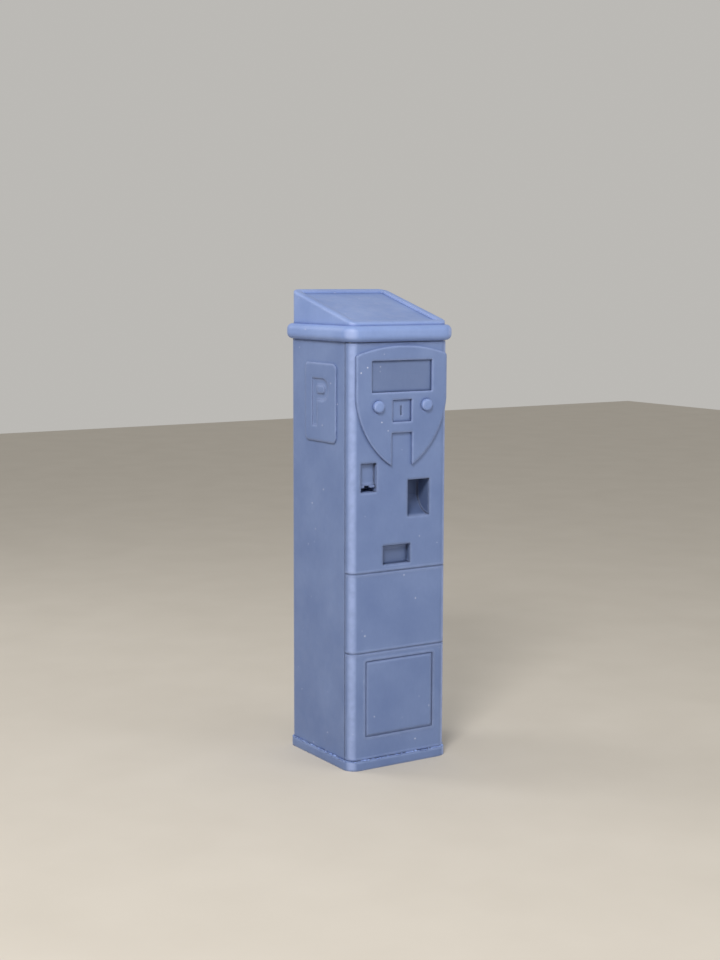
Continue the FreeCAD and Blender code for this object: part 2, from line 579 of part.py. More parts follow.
def make_coin_return():
    t = "pocket_wall"
    foot = "return_middle - return_height / 2"
    hull = block("ReturnHull", "return_width + 2 * " + t, "return_depth + " + t, "return_height + 2 * " + t,
                 "return_across", front + " + skin", foot + " - " + t)
    hollow = block("ReturnHollow", "return_width", "return_depth + 1", "return_height", "return_across",
                   front + " + skin - 1", foot)
    pin_hole = rod("ReturnPinHole", "flap_pin_radius", "return_width + 8 * " + t,
                   "return_across - return_width / 2 - 4 * " + t, flap_y, flap_z, "X")
    keep("coin_return_cup", cut("ReturnCup", hull, hollow, pin_hole))
    keep("flap_pin", rod("FlapPin", "flap_pin_radius", "return_width + 2 * " + t,
                         "return_across - return_width / 2 - " + t, flap_y, flap_z, "X"))
    leaf = block("FlapLeaf", "return_width - 2 * flap_clearance", "flap_plate",
                 "return_height - 2 * flap_clearance - 3", "return_across", flap_y + " - flap_plate / 2",
                 foot + " + flap_clearance")
    barrel = rod("FlapBarrel", "2 * flap_pin_radius", "return_width - 2 * flap_clearance",
                 "return_across - return_width / 2 + flap_clearance", flap_y, flap_z, "X")
    bore = rod("FlapBore", "flap_pin_radius + pin_clearance", "return_width",
               "return_across - return_width / 2", flap_y, flap_z, "X")
    keep("coin_return_flap", cut("Flap", join("FlapWhole", leaf, barrel), bore))


flap_y = "(%s + skin + flap_inset)" % front
flap_z = "(return_middle + return_height / 2 - 3 * flap_pin_radius)"


def make_lower_doors():
    low, high = "seam_lower + seam / 2", "seam_upper - seam / 2"
    keep("vault_door", door_pan("VaultDoor", low, high))
    keep("vault_armour", block("VaultArmour", "cabinet_width - 2 * corner_radius - 54", "4",
                               "seam_upper - seam_lower - 40", 0, front + " + skin", "seam_lower + 20"))
    pan = door_pan("LowerDoor", "plinth_height + seam / 2", "seam_lower - seam / 2")
    rim = rounded_slab("GrooveOuter", "XZ_Plane", "panel_width + 2 * groove", "panel_height + 2 * groove", "8",
                       "groove_depth + 1", y=front + " + groove_depth", z="panel_middle")
    tray = rounded_slab("Tray", "XZ_Plane", "panel_width + 2 * groove + 6", "panel_height + 2 * groove + 6", "9",
                        "groove_depth", y=front + " + groove_depth + skin", z="panel_middle")
    keep("lower_door", cut("LowerDoorDone", join("LowerDoorTray", pan, tray), rim))
    keep("access_panel", rounded_slab("AccessPanel", "XZ_Plane", "panel_width", "panel_height", "4",
                                      "groove_depth - 0.5", y=front + " + groove_depth", z="panel_middle",
                                      soft="edge_soft"))


def make_locks():
    """Key locks in the right wall, stored unlocked. Each cam turns up in front of its door's keeper."""
    barrels = []
    for label, height in lock_heights.items():
        flange = rod("LockFlange" + label, "lock_flange", "lock_flange_plate", right, lock_y, height, "X")
        barrel = rod("LockBarrel" + label, "lock_radius", "lock_length", right + " - lock_length", lock_y, height,
                     "X")
        bore = rod("LockBore" + label, "plug_radius + pin_clearance", "2 * lock_length",
                   right + " - 1.5 * lock_length", lock_y, height, "X")
        barrels.append(cut("Lock" + label, join("LockWhole" + label, flange, barrel), bore))
        plug = rod("Plug" + label, "plug_radius", "lock_length + lock_flange_plate + 4 * cam_gap",
                   right + " - lock_length - 4 * cam_gap", lock_y, height, "X")
        key = box("KeySlot" + label, "6", "2", "10", right + " + lock_flange_plate - 5", lock_y + " - 1",
                  height + " - 5")
        keep(label + "_lock_plug", cut("PlugDone" + label, plug, key))
        cam_x = right + " - lock_length - 4 * cam_gap - cam_plate"
        arm = box("CamArm" + label, "cam_plate", "cam_length - cam_width / 2", "cam_width", cam_x,
                  lock_y + " - cam_length + cam_width / 2", height + " - cam_width / 2")
        hub = rod("CamHub" + label, "cam_width / 2 + 3", "cam_plate", cam_x, lock_y, height, "X")
        tip = rod("CamTip" + label, "cam_width / 2", "cam_plate", cam_x, lock_y + " - cam_length + cam_width / 2",
                  height, "X")
        keep(label + "_lock_cam", join("Cam" + label, arm, hub, tip))
        # The keeper reaches back from the door, and its lip stands behind the locked cam
        reach_x = cam_x + " - 1"
        top = height + " + cam_length - keeper_height / 2"
        back = lock_y + " + cam_width / 2 + cam_gap"
        skin_back = "(%s + skin)" % front
        foot_x = reach_x + " - keeper_plate - keeper_foot"
        foot = box("KeeperFoot" + label, "0.75 * keeper_foot", "keeper_plate + 1", "keeper_height", foot_x,
                   skin_back, top)
        bridge = box("KeeperBridge" + label, "keeper_foot + keeper_plate", "keeper_plate", "keeper_height", foot_x,
                     skin_back + " + 1", top)
        reach = box("KeeperArm" + label, "keeper_plate", back + " + keeper_plate - %s - 1" % skin_back,
                    "keeper_height", reach_x + " - keeper_plate", skin_back + " + 1", top)
        lip = box("KeeperLip" + label, "cam_plate + 5", "keeper_plate", "keeper_height",
                  reach_x + " - keeper_plate", back, top)
        keep(label + "_keeper", join("Keeper" + label, foot, bridge, reach, lip))
    group = doc.addObject("Part::Compound", "LockBarrels")
    group.Links = barrels
    keep("lock_barrels", group)


# Works inside

works_front = "(-50)"
chute_front = "(-50)"


def make_equipment_shelf():
    gap = "2 * wall"
    plate = rounded_slab("EquipmentPlate", "XY_Plane", "cabinet_width - " + gap, "cabinet_depth - " + gap,
                         "corner_radius - wall", "3", z="shelf_height")
    off = box("EquipmentOff", "cabinet_width", "cabinet_depth / 2 - 50", "10", left, front, "shelf_height - 2")
    notch = block("EquipmentNotch", "chute_width + 2", "chute_depth + 2", "10", 0, chute_front + " - 1",
                  "shelf_height - 2")
    keep("equipment_shelf", cut("EquipmentShelf", plate, off, notch))
    keep("control_box", rounded_slab("ControlBox", "XY_Plane", "control_width", "control_depth", "4",
                                     "control_height", x=left + " + wall + 20 + control_width / 2", y="90",
                                     z="shelf_height + 3", soft="2"))


def make_printer():
    """A two-cheeked printer: the paper roll turns on its spindle and feeds the platen roller."""
    low = "(shelf_height + 3)"
    tall = "2 * roll_radius + 4 * paper_gap"
    long = "2 * roll_radius + 90"
    hull = block("PrinterHull", "printer_width", long, tall, "printer_across", works_front, low)
    hollow = block("PrinterHollow", "printer_width - 2 * printer_plate", long + " + 2", tall, "printer_across",
                   works_front + " - 1", low + " + printer_plate")
    spindle_hole = rod("SpindleHole", "spindle_radius", "2 * printer_width", "printer_across - printer_width",
                       roll_y, roll_z, "X")
    shaft_hole = rod("ShaftHole", "shaft_radius + pin_clearance", "2 * printer_width",
                     "printer_across - printer_width", platen_y, platen_z, "X")
    keep("printer_frame", cut("PrinterFrame", hull, hollow, spindle_hole, shaft_hole))
    keep("roll_spindle", rod("RollSpindle", "spindle_radius", "printer_width + 12",
                             "printer_across - printer_width / 2 - 6", roll_y, roll_z, "X"))
    paper = rod("Paper", "roll_radius", "roll_width", "printer_across - roll_width / 2", roll_y, roll_z, "X")
    core_hole = rod("PaperCoreHole", "core_radius", "2 * roll_width", "printer_across - roll_width", roll_y,
                    roll_z, "X")
    keep("paper_roll", cut("PaperRoll", paper, core_hole))
    core = rod("Core", "core_radius", "roll_width + 6", "printer_across - roll_width / 2 - 3", roll_y, roll_z, "X")
    core_bore = rod("CoreBore", "spindle_radius + pin_clearance", "2 * roll_width",
                    "printer_across - roll_width", roll_y, roll_z, "X")
    keep("paper_core", cut("PaperCore", core, core_bore))
    keep("platen_roller", rod("PlatenRoller", "platen_radius", "roll_width + 4",
                              "printer_across - roll_width / 2 - 2", platen_y, platen_z, "X"))
    ends = [rod("PlatenShaft", "shaft_radius", "16", "printer_across + %s" % x, platen_y, platen_z, "X")
            for x in ("roll_width / 2 + 2", "(-roll_width / 2 - 18)")]
    shafts = doc.addObject("Part::Compound", "PlatenShafts")
    shafts.Links = ends
    keep("platen_shafts", shafts)
    keep("print_head", block("PrintHead", "printer_width - 2 * printer_plate", "10", "24", "printer_across",
                             platen_y + " - platen_radius - 10.2", platen_z + " - 12"))


platen_y = "(%s + 30)" % works_front
platen_z = "(shelf_height + 50)"
roll_y = "(%s + 85 + roll_radius)" % works_front
roll_z = "(shelf_height + 3 + printer_plate + 2 * paper_gap + roll_radius)"


def make_coin_works():
    t = "2 * chute_wall"
    low = "seam_upper + shelf_plate / 2 - 14"
    tall = "coin_plate_middle - validator_height - (%s)" % low
    hull = block("ChuteHull", "chute_width", "chute_depth", tall, 0, chute_front, low)
    hollow = block("ChuteHollow", "chute_width - " + t, "chute_depth - " + t, tall + " + 2", 0,
                   chute_front + " + chute_wall", low + " - 1")
    flange = block("ChuteFlange", "chute_width + 16", "chute_depth + 16", "3", 0, chute_front + " - 8",
                   "shelf_height + 3")
    brim = low + " + " + tall + " - hopper_height"
    hopper_front = chute_front + " + chute_depth - hopper_depth"
    hopper = block("HopperHull", "chute_width", "hopper_depth", "hopper_height", 0, hopper_front, brim)
    hopper_room = block("HopperRoom", "chute_width - " + t, "hopper_depth - " + t, "hopper_height", 0,
                        hopper_front + " + chute_wall", brim + " + chute_wall")
    keep("coin_chute", cut("CoinChute", join("ChuteWhole", hull, flange, hopper), hollow, hopper_room))
    floor = "(seam_lower + shelf_plate / 2)"
    across, deep, high = "coin_box_width", "coin_box_depth", "coin_box_height"
    box_hull = block("CoinBoxHull", across, deep, high, 0, "(-140)", floor)
    box_room = block("CoinBoxRoom", across + " - 2 * coin_box_wall", deep + " - 2 * coin_box_wall", high, 0,
                     "(-140) + coin_box_wall", floor + " + coin_box_wall")
    keep("coin_box", cut("CoinBox", box_hull, box_room))
    lid = block("CoinLid", across, deep, "3", 0, "(-140)", floor + " + " + high)
    slot = block("CoinLidSlot", "chute_width", "chute_depth", "9", 0, chute_front, floor + " + " + high + " - 3")
    keep("coin_box_lid", cut("CoinBoxLid", lid, slot))
    grip_z = floor + " + coin_box_height / 2"
    bar = rod("GripBar", "5", "120", -60, "(-158)", grip_z, "X")
    posts = [rod("GripPost", "5", "18", x, "(-158)", grip_z, "Y") for x in (-55, 55)]
    keep("coin_box_handle", join("CoinBoxHandle", bar, *posts))


def make_battery():
    tray = block("BatteryTray", "battery_width + 10", "battery_depth + 10", "20", 0, "15", "plinth_height + 4")
    room = block("BatteryRoom", "battery_width + 1", "battery_depth + 1", "20", 0, "19.5", "plinth_height + 7")
    keep("battery_tray", cut("BatteryTrayDone", tray, room))
    keep("battery", rounded_slab("Battery", "XY_Plane", "battery_width", "battery_depth", "3", "battery_height",
                                 y="20 + battery_depth / 2", z="plinth_height + 7", soft="3"))
    posts = [rod("BatteryPost", "7", "12", "%d * battery_width / 3" % s, "45", "plinth_height + 7 + battery_height")
             for s in (-1, 1)]
    group = doc.addObject("Part::Compound", "BatteryPosts")
    group.Links = posts
    keep("battery_terminals", group)
    rails = [box("BatteryRail", "12", "cabinet_depth - 110", "plinth_height + 4 - plinth_floor",
                 "%d * battery_width / 3 - 6" % s, front + " + 90", "plinth_floor") for s in (-1, 1)]
    floor = doc.addObject("Part::Compound", "BatteryRails")
    floor.Links = rails
    keep("battery_rails", floor)


def make_back_vent():
    """A slotted plate riveted to the back, over the same slots in the wall."""
    plate = rounded_slab("VentPlate", "XZ_Plane", "vent_width", "vent_height", "8", "vent_plate",
                         y="cabinet_depth / 2 + vent_plate", z="vent_middle")
    keep("back_vent", cut("BackVent", plate, *vent_slots("VentSlot")))
    heads = [rod("VentRivet", "4", "2", "%d * (vent_width / 2 - 10)" % i, "cabinet_depth / 2 + vent_plate",
                 "vent_middle + %d * (vent_height / 2 - 10)" % j, "Y") for i in (-1, 1) for j in (-1, 1)]
    group = doc.addObject("Part::Compound", "VentRivets")
    group.Links = heads
    keep("vent_rivets", group)


def make_all():
    make_plinth()
    make_shell()
    make_shelf("vault_floor", "(seam_lower - shelf_plate / 2)")
    make_shelf("vault_ceiling", "(seam_upper - shelf_plate / 2)", notch=True)
    make_pins()
    make_collar()
    make_hood()
    make_sign("left_sign", -1)
    make_sign("right_sign", 1)
    make_upper_door()
    make_buttons()
    make_card_reader()
    make_ticket_pocket()
    make_coin_return()
    make_lower_doors()
    make_locks()
    make_equipment_shelf()
    make_printer()
    make_coin_works()
    make_battery()
    make_back_vent()


make_all()
doc.removeObject(probe.Name)
doc.recompute()
faults = [o.Label for o in doc.Objects if "Invalid" in o.State or "Error" in o.State]
faults += [label for label, o in parts.items() if o.Shape.isNull() or not o.Shape.isValid() or not o.Shape.Solids]
if faults:
    raise SystemExit("these did not build: " + ", ".join(faults))
os.makedirs("parts", exist_ok=True)
for label, thing in parts.items():
    thing.Shape.exportStep(os.path.join("parts", label + ".step"))
print(len(parts), "sub-parts written")
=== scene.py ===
import json
import math

import bpy
import bmesh
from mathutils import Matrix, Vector

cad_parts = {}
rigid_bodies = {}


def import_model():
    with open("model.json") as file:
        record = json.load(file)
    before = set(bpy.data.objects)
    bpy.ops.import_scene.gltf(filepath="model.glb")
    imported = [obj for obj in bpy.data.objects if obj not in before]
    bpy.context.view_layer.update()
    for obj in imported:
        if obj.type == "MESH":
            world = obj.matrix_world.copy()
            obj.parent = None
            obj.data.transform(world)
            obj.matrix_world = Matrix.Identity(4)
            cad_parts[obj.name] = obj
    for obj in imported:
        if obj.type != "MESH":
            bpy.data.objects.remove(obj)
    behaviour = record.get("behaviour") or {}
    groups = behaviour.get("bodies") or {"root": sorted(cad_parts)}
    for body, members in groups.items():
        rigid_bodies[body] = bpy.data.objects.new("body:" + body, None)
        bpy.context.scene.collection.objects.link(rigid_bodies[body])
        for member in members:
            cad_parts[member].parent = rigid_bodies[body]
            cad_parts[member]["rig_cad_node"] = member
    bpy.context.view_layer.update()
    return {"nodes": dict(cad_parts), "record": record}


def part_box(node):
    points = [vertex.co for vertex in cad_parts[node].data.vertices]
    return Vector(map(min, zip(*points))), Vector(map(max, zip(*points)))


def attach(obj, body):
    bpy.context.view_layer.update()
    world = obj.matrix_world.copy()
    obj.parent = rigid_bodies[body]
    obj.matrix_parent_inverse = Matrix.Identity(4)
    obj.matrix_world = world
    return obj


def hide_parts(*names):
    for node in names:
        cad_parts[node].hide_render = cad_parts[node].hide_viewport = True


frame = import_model()
nodes = frame["nodes"]
slotOf = {part["node"]: part["material_slot"] for part in frame["record"]["subparts"]}
bodies = frame["record"]["behaviour"]["bodies"]
bodyOf = {node: body for body, group in bodies.items() for node in group}
print("frame loaded:", len(nodes), "nodes")


# Materials

def startMaterial(name):
    material = bpy.data.materials.new(name)
    material.use_nodes = True
    tree = material.node_tree
    tree.nodes.clear()
    shader = tree.nodes.new("ShaderNodeBsdfPrincipled")
    output = tree.nodes.new("ShaderNodeOutputMaterial")
    place = tree.nodes.new("ShaderNodeTexCoord")
    tree.links.new(shader.outputs["BSDF"], output.inputs["Surface"])
    return material, tree, shader, place.outputs["Object"]


def addNoise(tree, place, noise, stretch=None):
    if stretch:
        mapping = tree.nodes.new("ShaderNodeMapping")
        mapping.inputs["Scale"].default_value = stretch
        tree.links.new(place, mapping.inputs["Vector"])
        place = mapping.outputs["Vector"]
    node = tree.nodes.new("ShaderNodeTexNoise")
    node.inputs["Scale"].default_value = noise["scale"]
    node.inputs["Detail"].default_value = noise["detail"]
    tree.links.new(place, node.inputs["Vector"])
    return node.outputs["Fac"]


def addRange(tree, value, ends, to=(0.0, 1.0)):
    node = tree.nodes.new("ShaderNodeMapRange")
    for socket, number in zip(("From Min", "From Max", "To Min", "To Max"), (*ends, *to)):
        node.inputs[socket].default_value = number
    tree.links.new(value, node.inputs["Value"])
    return node.outputs["Result"]


def addCloud(tree, place, noise, to=(0.0, 1.0)):
    # Noise whose values between two ends are spread over a range
    return addRange(tree, addNoise(tree, place, noise, noise.get("stretch")), noise["ends"], to)


def addMix(tree, factor, first, second):
    node = tree.nodes.new("ShaderNodeMix")
    node.data_type = "RGBA"
    tree.links.new(factor, node.inputs[0])
    for socket, value in ((6, first), (7, second)):
        if isinstance(value, (tuple, list)):
            node.inputs[socket].default_value = (*value[:3], 1.0)
        else:
            tree.links.new(value, node.inputs[socket])
    return node.outputs[2]


def addMath(tree, operation, first, second=0.0):
    node = tree.nodes.new("ShaderNodeMath")
    node.operation = operation
    for socket, value in ((0, first), (1, second)):
        if isinstance(value, (int, float)):
            node.inputs[socket].default_value = value
        else:
            tree.links.new(value, node.inputs[socket])
    return node.outputs[0]


def addBump(tree, shader, height, depth, under=None):
    bump = tree.nodes.new("ShaderNodeBump")
    bump.inputs["Distance"].default_value = depth
    tree.links.new(height, bump.inputs["Height"])
    if under:
        tree.links.new(under, bump.inputs["Normal"])
    tree.links.new(bump.outputs["Normal"], shader.inputs["Normal"])
    return bump.outputs["Normal"]


castSettings = {
    "shade": (0.134, 0.198, 0.402), "tint": (0.168, 0.238, 0.452),
    "cloud": {"scale": 5.0, "detail": 4.0, "ends": (0.35, 0.66)},
    "streaks": {"scale": 95.0, "detail": 2.0, "ends": (0.42, 0.62), "stretch": (1.0, 1.0, 0.4)},
    "streakShare": 0.10, "streakShade": 0.86,
    # edge colour: worn resin at edges and corners, together with a painted highlight
    "edge": (0.37, 0.47, 0.80), "edgeRadius": 0.014, "edgeSamples": 6,
    "rimEnds": (0.995, 0.86), "rimShare": 0.62, "cornerEnds": (0.27, 0.5), "cornerShare": 0.80,
    "wear": {"scale": 40.0, "detail": 3.0, "ends": (0.30, 0.62)}, "wearRange": (0.70, 1.0),
    "fleck": (0.72, 0.76, 0.90), "fleckScale": 30.0, "fleckReach": 0.095, "fleckCore": 0.45,
    "fleckZones": {"scale": 11.0, "detail": 2.0, "ends": (0.57, 0.60)}, "fleckShare": 0.85,
    "roughness": (0.40, 0.56), "specular": 0.42,
    "sheen": {"scale": 26.0, "detail": 3.0, "ends": (0.3, 0.7)},
    "bandLength": 0.314, "layerPitch": 0.0042, "layerWander": 0.6, "layerDepth": 0.00012,
    "grain": {"scale": 48.0, "detail": 4.0}, "grainDepth": 0.00028,
}


def makeCast(name, lighter=1.0, edge=1.0, flecks=1.0, gloss=0.0):
    # Blue-grey cast finish: cloudy tone, soft edges lighter from worn resin and a painted
    # highlight, pale flecks and faint level lines
    cast = castSettings
    material, tree, shader, place = startMaterial(name)
    # lighter scales the whole tone; the cast copies for the hood, buttons, solar window, display
    # and pockets use it to paint light and shade
    shade = [min(1.0, c * lighter) for c in cast["shade"]]
    tint = [min(1.0, c * lighter) for c in cast["tint"]]
    colour = addMix(tree, addCloud(tree, place, cast["cloud"]), shade, tint)
    streaks = addCloud(tree, place, cast["streaks"], (0.0, cast["streakShare"]))
    colour = addMix(tree, streaks, colour, [c * cast["streakShade"] for c in shade])

    # Near an edge, the rounded normal turns away from the surface's own; there the colour is
    # lighter, partly worn resin and partly a painted highlight
    bevel = tree.nodes.new("ShaderNodeBevel")
    bevel.samples = cast["edgeSamples"]
    bevel.inputs["Radius"].default_value = cast["edgeRadius"]
    geometry = tree.nodes.new("ShaderNodeNewGeometry")
    turn = tree.nodes.new("ShaderNodeVectorMath")
    turn.operation = "DOT_PRODUCT"
    tree.links.new(bevel.outputs["Normal"], turn.inputs[0])
    tree.links.new(geometry.outputs["Normal"], turn.inputs[1])
    rim = addRange(tree, turn.outputs["Value"], cast["rimEnds"], (0.0, cast["rimShare"] * edge))
    # The broad rounded corners are lighter too, mostly as a painted highlight with some lighter
    # worn resin: their normals lie between two faces
    split = tree.nodes.new("ShaderNodeSeparateXYZ")
    tree.links.new(place.node.outputs["Normal"], split.inputs[0])
    plan = addMath(tree, "MULTIPLY", split.outputs["X"], split.outputs["Y"])
    plan = addMath(tree, "ABSOLUTE", plan)
    corner = addRange(tree, plan, cast["cornerEnds"], (0.0, cast["cornerShare"] * edge))
    rim = addMath(tree, "MAXIMUM", rim, corner)
    # Noise breaks up the lightened edges and corners, both the worn resin and the painted highlight
    wear = addCloud(tree, place, cast["wear"], cast["wearRange"])
    colour = addMix(tree, addMath(tree, "MULTIPLY", rim, wear), colour, cast["edge"])

    cells = tree.nodes.new("ShaderNodeTexVoronoi")
    cells.inputs["Scale"].default_value = cast["fleckScale"]
    tree.links.new(place, cells.inputs["Vector"])
    reach = cast["fleckReach"]
    spot = addRange(tree, cells.outputs["Distance"], (reach, reach * cast["fleckCore"]))
    spot = addMath(tree, "MULTIPLY", spot, addCloud(tree, place, cast["fleckZones"]))
    spot = addMath(tree, "MULTIPLY", spot, cast["fleckShare"] * flecks)
    colour = addMix(tree, spot, colour, cast["fleck"])
    tree.links.new(colour, shader.inputs["Base Color"])

    sheen = addCloud(tree, place, cast["sheen"], [end - gloss for end in cast["roughness"]])
    tree.links.new(sheen, shader.inputs["Roughness"])
    shader.inputs["Specular IOR Level"].default_value = cast["specular"]

    layers = tree.nodes.new("ShaderNodeTexWave")
    layers.bands_direction = "Z"
    layers.inputs["Scale"].default_value = cast["bandLength"] / cast["layerPitch"]
    layers.inputs["Distortion"].default_value = cast["layerWander"]
    tree.links.new(place, layers.inputs["Vector"])
    soft = addBump(tree, shader, layers.outputs["Fac"], cast["layerDepth"], bevel.outputs["Normal"])
    addBump(tree, shader, addNoise(tree, place, cast["grain"]), cast["grainDepth"], soft)
    return material


metalSettings = {
    "mottle": {"scale": 18.0, "detail": 4.0, "ends": (0.32, 0.68)},
    "scratch": {"scale": 360.0, "detail": 3.0, "ends": (0.3, 0.7)},
    "smoother": 0.08, "rougher": 0.14, "depth": 0.00008,
}


def makeMetal(name, colour, dark, roughness, stretch):
    # Plated or brushed metal with mottled tone and fine scratches
    metal = metalSettings
    material, tree, shader, place = startMaterial(name)
    mottle = addCloud(tree, place, metal["mottle"])
    tree.links.new(addMix(tree, mottle, dark, colour), shader.inputs["Base Color"])
    shader.inputs["Metallic"].default_value = 1.0
    scratch = addNoise(tree, place, metal["scratch"], stretch)
    sheen = addRange(tree, scratch, metal["scratch"]["ends"],
                     (roughness - metal["smoother"], roughness + metal["rougher"]))
    tree.links.new(sheen, shader.inputs["Roughness"])
    addBump(tree, shader, scratch, metal["depth"])
    return material


dullSettings = {
    "cloudShare": 0.1, "detail": 3.0, "ends": (0.3, 0.7), "smoother": 0.06, "rougher": 0.08,
    "depth": 0.0002,
}


def makeDull(name, colour, dark, roughness, scale=180.0):
    # Moulded plastic, rubber or card with a fine grain
    dull = dullSettings
    material, tree, shader, place = startMaterial(name)
    cloud = addCloud(tree, place, {**dull, "scale": scale * dull["cloudShare"]})
    tree.links.new(addMix(tree, cloud, dark, colour), shader.inputs["Base Color"])
    fine = addNoise(tree, place, {**dull, "scale": scale})
    sheen = addRange(tree, fine, dull["ends"],
                     (roughness - dull["smoother"], roughness + dull["rougher"]))
    tree.links.new(sheen, shader.inputs["Roughness"])
    addBump(tree, shader, fine, dull["depth"])
    return material


paperSettings = {
    "axisY": 0.097, "axisZ": 1.134, "ringRate": 2638.86, "ringShare": 0.55, "ringDepth": 0.00006,
    "paper": (0.80, 0.79, 0.75), "shadow": (0.58, 0.56, 0.52), "roughness": 0.85,
}


def makePaper(name):
    # A wound roll: thin rings round its axis on the ends
    paper = paperSettings
    material, tree, shader, place = startMaterial(name)
    mapping = tree.nodes.new("ShaderNodeMapping")
    mapping.inputs["Location"].default_value = (0.0, -paper["axisY"], -paper["axisZ"])
    mapping.inputs["Scale"].default_value = (0.0, 1.0, 1.0)
    tree.links.new(place, mapping.inputs["Vector"])
    reach = tree.nodes.new("ShaderNodeVectorMath")
    reach.operation = "LENGTH"
    tree.links.new(mapping.outputs["Vector"], reach.inputs[0])
    phase = addMath(tree, "MULTIPLY", reach.outputs["Value"], paper["ringRate"])
    rings = addMath(tree, "SINE", phase)
    tone = addRange(tree, rings, (-1.0, 1.0), (0.0, paper["ringShare"]))
    tree.links.new(addMix(tree, tone, paper["paper"], paper["shadow"]), shader.inputs["Base Color"])
    shader.inputs["Roughness"].default_value = paper["roughness"]
    addBump(tree, shader, rings, paper["ringDepth"])
    return material


finishes = {
    "blue_grey_paint": makeCast("cabinetCast"),
    # Painted light: the hood and the buttons are lighter copies of the same blue-grey cast finish
    "moulded_hood": makeCast("hoodCast", lighter=1.42, edge=1.15, flecks=0.6),
    "moulded_button": makeCast("buttonCast", lighter=1.30, flecks=0.3),
    # Painted shade: the display window is a darker copy of the cast finish, for the shade in its
    # recess
    "display_window": makeCast("displayCast", lighter=0.80, edge=0.25, flecks=0.5, gloss=0.06),
    # Painted light: the solar window is a lighter copy of the cast finish
    "solar_window": makeCast("solarCast", lighter=1.30, edge=0.2, flecks=0.7, gloss=0.08),
    # Painted shade: the pocket finish is a slightly darker copy of the cast finish
    "moulded_pocket": makeCast("pocketCast", lighter=0.92, edge=0.8),
    "black_plastic": makeDull(
        "blackPlastic", colour=(0.030, 0.030, 0.033), dark=(0.018, 0.018, 0.020), roughness=0.52),
    "battery_case": makeDull(
        "batteryCase", colour=(0.060, 0.062, 0.068), dark=(0.040, 0.041, 0.045), roughness=0.45),
    "brass": makeMetal(
        "turnedBrass", colour=(0.72, 0.53, 0.22), dark=(0.52, 0.37, 0.15), roughness=0.30,
        stretch=(1.0, 9.0, 9.0)),
    "rubber": makeDull(
        "blackRubber", colour=(0.025, 0.025, 0.026), dark=(0.015, 0.015, 0.016), roughness=0.78,
        scale=260.0),
    "bare_steel": makeMetal(
        "zincSteel", colour=(0.60, 0.61, 0.62), dark=(0.44, 0.45, 0.47), roughness=0.36,
        stretch=(1.0, 6.0, 1.0)),
    "paper": makePaper("ticketPaper"),
    "core_card": makeDull(
        "coreCard", colour=(0.44, 0.33, 0.21), dark=(0.34, 0.25, 0.16), roughness=0.85,
        scale=320.0),
}
print("materials made:", len(finishes))

# The deep pockets are darker, because less light gets into them
insideFinish = makeCast("insideCast", lighter=0.68, edge=0.9)
deepNodes = ["ticket_pocket", "coin_return_cup", "coin_return_flap"]


def finishFor(label):
    return insideFinish if label in deepNodes else finishes[slotOf[label]]


def dress(piece, finish):
    piece.data.materials.clear()
    piece.data.materials.append(finish)
    piece.data.polygons.foreach_set("material_index", [0] * len(piece.data.polygons))


for label, piece in nodes.items():
    dress(piece, finishFor(label))


# Pieces whose cut edges are rounded over: a copy of the CAD shape with real fillets

softenSettings = {"weld": 0.00002, "smooth": 32, "sharp": 38, "segments": 3, "weight": 100}
roundSettings = {
    "upper_door": 0.0011, "shield_bezel": 0.0034, "display_glass": 0.0008,
    "coin_entry_plate": 0.0010, "ticket_pocket": 0.0009, "card_reader": 0.0009,
    "coin_return_cup": 0.0009, "coin_return_flap": 0.0009, "vault_door": 0.0011,
    "lower_door": 0.0011, "access_panel": 0.0014, "left_sign": 0.0012, "right_sign": 0.0012,
    "solar_panel": 0.0012, "solar_hood": 0.0022, "back_vent": 0.0010, "cabinet_shell": 0.0008,
    "plinth": 0.0012, "coin_box": 0.0008, "coin_box_lid": 0.0010, "printer_frame": 0.0010,
    "coin_chute": 0.0008, "coin_validator": 0.0020, "display_module": 0.0016,
    "upper_lock_cam": 0.0006, "vault_lock_cam": 0.0006, "lower_lock_cam": 0.0006,
    "upper_keeper": 0.0008, "vault_keeper": 0.0008, "lower_keeper": 0.0008,
}


def cleanMesh(source, name):
    mesh = source.data.copy()
    mesh.name = name
    work = bmesh.new()
    work.from_mesh(mesh)
    bmesh.ops.remove_doubles(work, verts=work.verts, dist=softenSettings["weld"])
    work.to_mesh(mesh)
    work.free()
    return mesh


def settle(piece):
    # The modifiers' result becomes the plain mesh
    graph = bpy.context.evaluated_depsgraph_get()
    mesh = bpy.data.meshes.new_from_object(piece.evaluated_get(graph))
    piece.modifiers.clear()
    piece.data = mesh


def smoothBy(piece, degrees):
    mesh = piece.data
    mesh.shade_smooth()
    mesh.set_sharp_from_angle(angle=math.radians(degrees))


def roundOver(label, width):
    source = nodes[label]
    body = bodyOf[label]
    first, *rest = label.split("_")
    name = first + "".join(word.capitalize() for word in rest) + "Rounded"
    piece = bpy.data.objects.new(name, cleanMesh(source, name))
    bpy.context.scene.collection.objects.link(piece)
    smoothBy(piece, softenSettings["smooth"])
    bevel = piece.modifiers.new("soften", "BEVEL")
    bevel.width = width
    bevel.segments = softenSettings["segments"]
    bevel.limit_method = "ANGLE"
    bevel.angle_limit = math.radians(softenSettings["sharp"])
    bevel.use_clamp_overlap = True
    bevel.miter_outer = "MITER_ARC"
    even = piece.modifiers.new("even", "WEIGHTED_NORMAL")
    even.keep_sharp = True
    even.weight = softenSettings["weight"]
    settle(piece)
    dress(piece, finishFor(label))
    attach(piece, body)
    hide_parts(label)


for label, width in roundSettings.items():
    roundOver(label, width)
print("rounded pieces:", len(roundSettings))


# Geometry Nodes for what repeats

